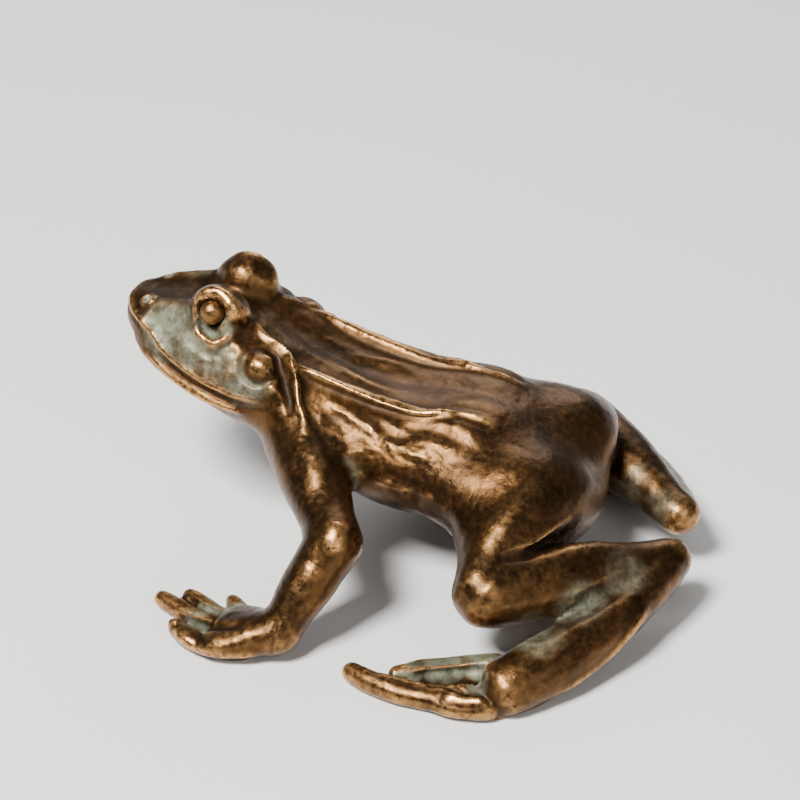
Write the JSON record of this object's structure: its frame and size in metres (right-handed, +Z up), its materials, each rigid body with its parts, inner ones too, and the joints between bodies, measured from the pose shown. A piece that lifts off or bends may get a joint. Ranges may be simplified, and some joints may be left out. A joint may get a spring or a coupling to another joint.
{
  "type": "frog figurine",
  "caption": "Cast bronze frog figurine that sits with its head raised and its hind legs folded, for a shelf or desk",
  "frame": {"origin": "on the floor, below the middle of the figurine's bounding box", "axes": "-Y is the way the frog faces, +X is the frog's left, +Z is up"},
  "size_m": [0.0618, 0.0762, 0.0331],
  "materials": {
    "patinated_bronze": "dark brown polished bronze, warm on the worn high places, with pale grey-green patina in the recesses",
    "eye_bronze": "dark brown bronze, smoother and glossier than the skin"
  },
  "bodies": {
    "root": {"belly_plate": "patinated_bronze", "body_shell": "patinated_bronze", "left_arm": "patinated_bronze", "left_eye": "eye_bronze", "left_foot": "patinated_bronze", "left_hand": "patinated_bronze", "left_shank": "patinated_bronze", "left_thigh": "patinated_bronze", "right_arm": "patinated_bronze", "right_eye": "eye_bronze", "right_foot": "patinated_bronze", "right_hand": "patinated_bronze", "right_shank": "patinated_bronze", "right_thigh": "patinated_bronze"}
  },
  "joints": []
}
